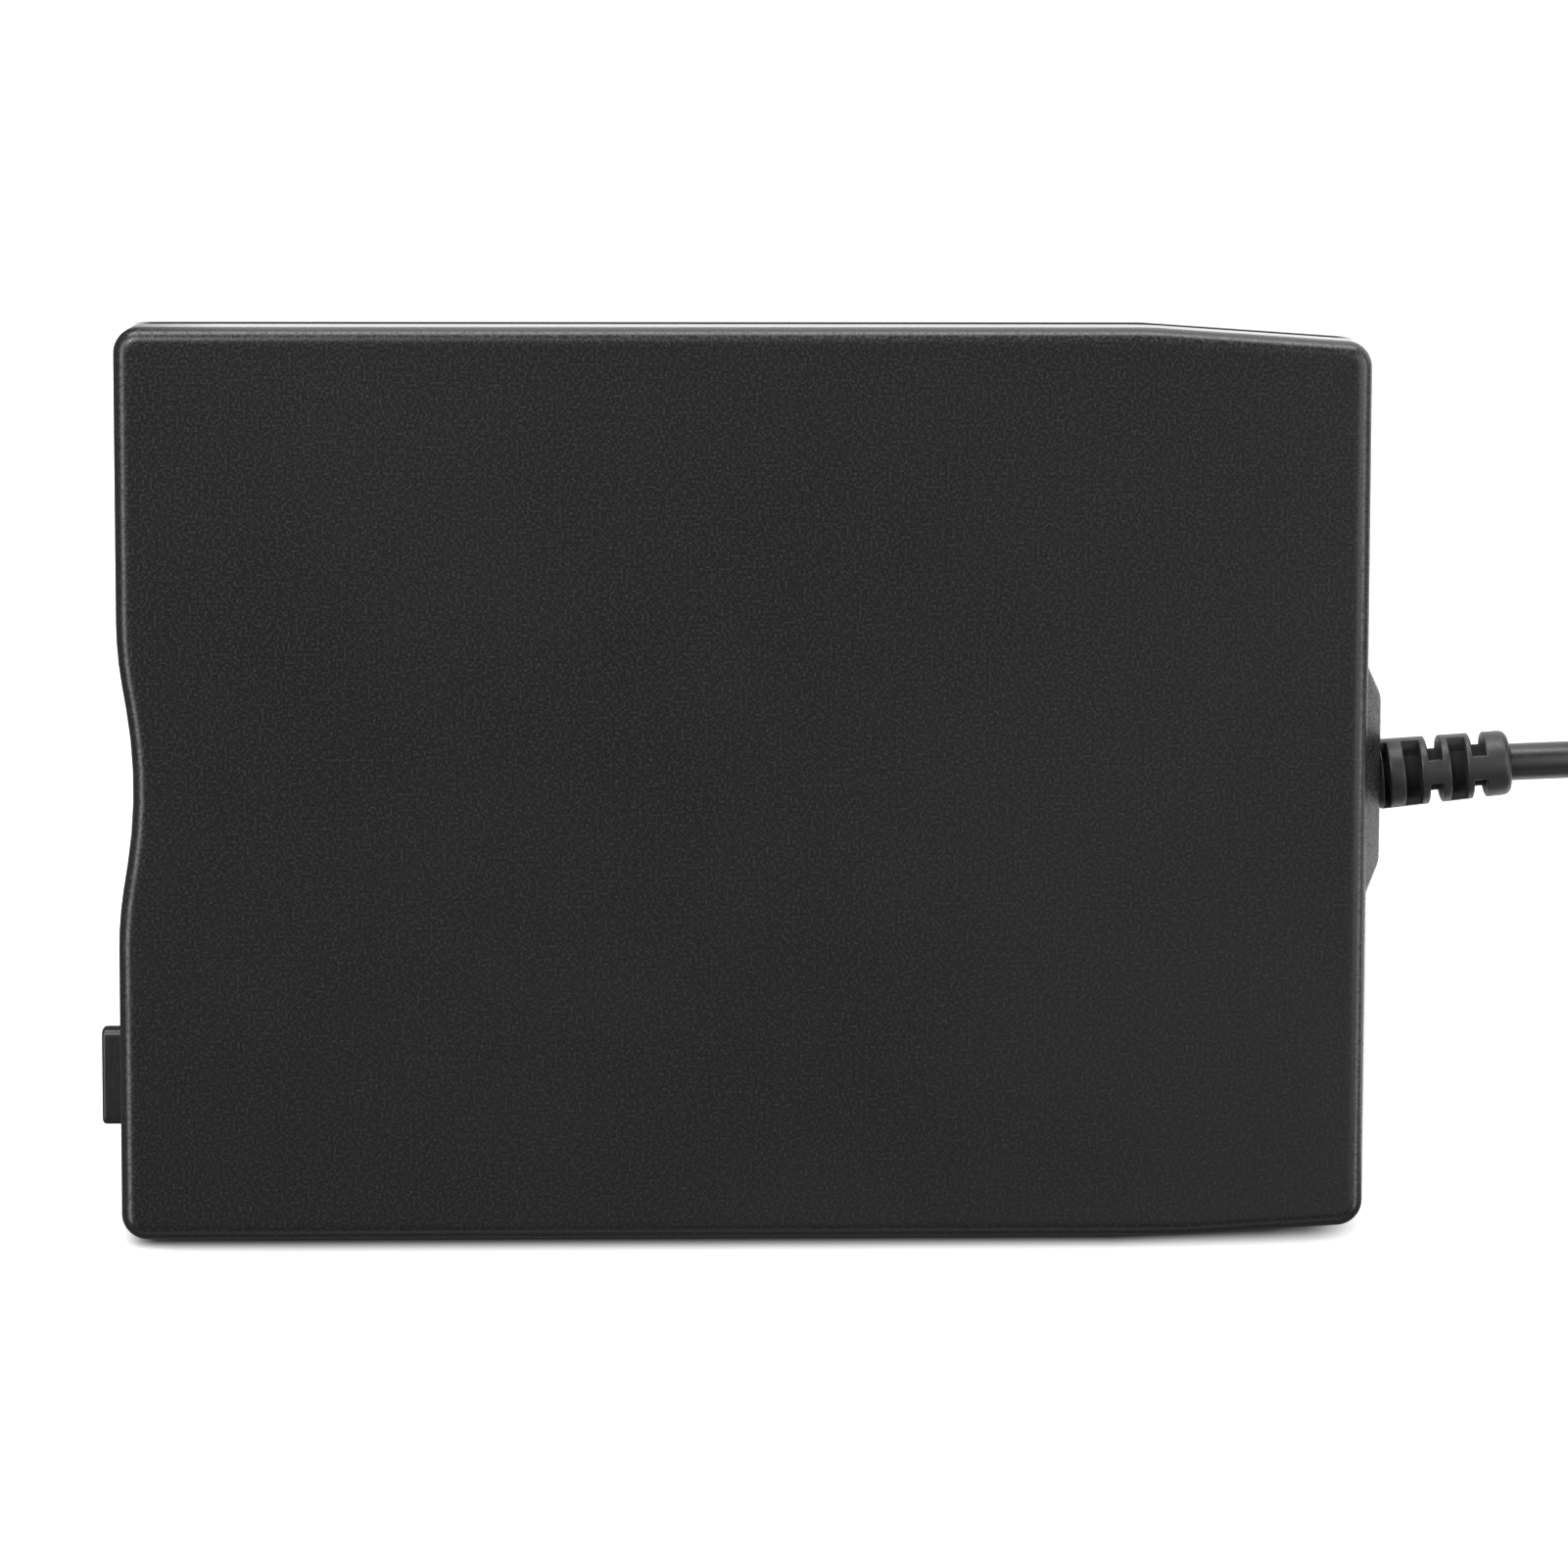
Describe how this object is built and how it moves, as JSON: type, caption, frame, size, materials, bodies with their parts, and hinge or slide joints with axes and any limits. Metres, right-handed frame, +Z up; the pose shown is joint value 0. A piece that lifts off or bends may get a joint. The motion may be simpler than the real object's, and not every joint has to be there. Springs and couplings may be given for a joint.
{
  "type": "external floppy disk drive",
  "caption": "Slim desktop floppy disk drive with a sprung slot door, eject button, internal spindle and head mechanism, and a captive lead with plug.",
  "frame": {"origin": "on the desk, under the middle of the case", "axes": "+Z up, +Y towards the rear where the lead leaves, +X towards the eject button side"},
  "size_m": [0.1418, 0.2383, 0.018],
  "materials": {
    "case": "fine spark-eroded texture, satin black",
    "panel": "fine texture, satin black",
    "button": "smooth satin black",
    "lens": "clear green tinted",
    "rubber": "matt black rubber",
    "lead": "satin black jacket",
    "relief": "moulded black",
    "plug_grip": "moulded black",
    "plug_metal": "nickel plated",
    "plug_core": "white",
    "contact": "gold plated",
    "sheet_steel": "zinc plated sheet",
    "cast": "die cast",
    "turned_steel": "ground",
    "spring": "spring wire",
    "screw": "black oxide",
    "board": "green solder mask",
    "chip": "moulded black",
    "copper": "enamelled copper",
    "bronze": "sintered bronze",
    "ferrite": "dark ferrite",
    "moulding": "glass filled black",
    "white_moulding": "white",
    "ribbon": "white film",
    "flex": "amber film",
    "wire": "coloured insulation",
    "head": "ground ceramic"
  },
  "bodies": {
    "root": {"top_cover": "case", "bottom_cover": "case", "front_panel": "panel", "door_pin": "turned_steel", "door_spring": "spring", "led_lens": "lens", "slider_springs": "spring", "chassis_tray": "cast", "top_shield": "sheet_steel", "lever_post": "turned_steel", "lever_spring": "spring", "motor_board": "board", "stator_coils": "copper", "spindle_bearing": "bronze", "guide_rods": "turned_steel", "rod_clamps": "moulding", "screw_bearing": "moulding", "stepper_motor": "sheet_steel", "track_sensor": "moulding", "head_flex": "flex", "drive_board": "board", "drive_chips": "chip", "switch_block": "moulding", "status_led": "white_moulding", "ribbon_sockets": "white_moulding", "ffc_ribbon": "ribbon", "usb_board": "board", "usb_components": "chip", "cable_wires": "wire", "case_screws": "screw", "drive_screws": "screw", "rubber_feet": "rubber", "strain_relief": "relief", "usb_cable": "lead", "cable_tail": "lead", "cable_coil": "lead", "cable_tie": "rubber", "plug_grip": "plug_grip", "plug_shell": "plug_metal", "plug_insert": "plug_core", "plug_contacts": "contact"},
    "door": {"slot_door": "panel"},
    "slider": {"eject_slider": "sheet_steel", "eject_button": "button"},
    "holder": {"disk_holder": "sheet_steel"},
    "spindle": {"spindle_shaft": "turned_steel", "rotor": "sheet_steel", "rotor_magnet": "ferrite", "chuck_hub": "sheet_steel", "drive_pin": "turned_steel"},
    "carriage": {"head_carriage": "moulding", "arm_pin": "turned_steel", "lower_head": "head"},
    "arm": {"head_arm": "moulding", "upper_head": "head"},
    "screw": {"lead_screw": "turned_steel"},
    "lever": {"release_lever": "sheet_steel"},
    "protect_pin": {"protect_plunger": "white_moulding"},
    "disk_pin": {"disk_plunger": "white_moulding"},
    "density_pin": {"density_plunger": "white_moulding"}
  },
  "joints": [
    {"name": "door_hinge", "type": "hinge", "parent": "root", "child": "door", "pos_m": [0, -0.06541, 0.0154], "axis": [1, 0, 0], "range_deg": [0, 86], "stiffness_Nm_per_rad": 0.0004, "springref_deg": -34.38, "deforming": ["door_spring"]},
    {"name": "eject_slide", "type": "slide", "parent": "root", "child": "slider", "axis": [0, 1, 0], "range_m": [-0.0045, 0], "deforming": ["slider_springs"]},
    {"name": "holder_drop", "type": "slide", "parent": "root", "child": "holder", "axis": [0, 0, 1], "range_m": [-0.0024, 0]},
    {"name": "spindle_spin", "type": "hinge", "parent": "root", "child": "spindle", "pos_m": [0, -0.019, 0.006], "axis": [0, 0, 1], "continuous": true},
    {"name": "carriage_slide", "type": "slide", "parent": "root", "child": "carriage", "axis": [0, 1, 0], "range_m": [-0.015, 0], "deforming": ["head_flex"]},
    {"name": "arm_hinge", "type": "hinge", "parent": "carriage", "child": "arm", "pos_m": [0, 0.0475, 0.01365], "axis": [-1, 0, 0], "range_deg": [-8.4, 0]},
    {"name": "screw_turn", "type": "hinge", "parent": "root", "child": "screw", "pos_m": [0.024, 0.04, 0.009], "axis": [0, 1, 0], "range_deg": [0, 1440]},
    {"name": "lever_swing", "type": "hinge", "parent": "root", "child": "lever", "pos_m": [-0.04, 0.034, 0.0114], "axis": [0, 0, 1], "range_deg": [0, 40], "stiffness_Nm_per_rad": 0.002, "springref_deg": -22.92, "deforming": ["lever_spring"]},
    {"name": "protect_press", "type": "slide", "parent": "root", "child": "protect_pin", "axis": [0, 0, -1], "range_m": [0, 0.0009], "stiffness_N_per_m": 40, "springref_m": -0.0005},
    {"name": "disk_press", "type": "slide", "parent": "root", "child": "disk_pin", "axis": [0, 0, -1], "range_m": [0, 0.0009], "stiffness_N_per_m": 40, "springref_m": -0.0005},
    {"name": "density_press", "type": "slide", "parent": "root", "child": "density_pin", "axis": [0, 0, -1], "range_m": [0, 0.0009], "stiffness_N_per_m": 40, "springref_m": -0.0005}
  ],
  "couplings": [
    {"joint": "holder_drop", "follows": "eject_slide", "ratio": 0.53333},
    {"joint": "arm_hinge", "follows": "eject_slide", "rad_per_m": 32.579},
    {"joint": "screw_turn", "follows": "carriage_slide", "rad_per_m": -1675.5}
  ]
}
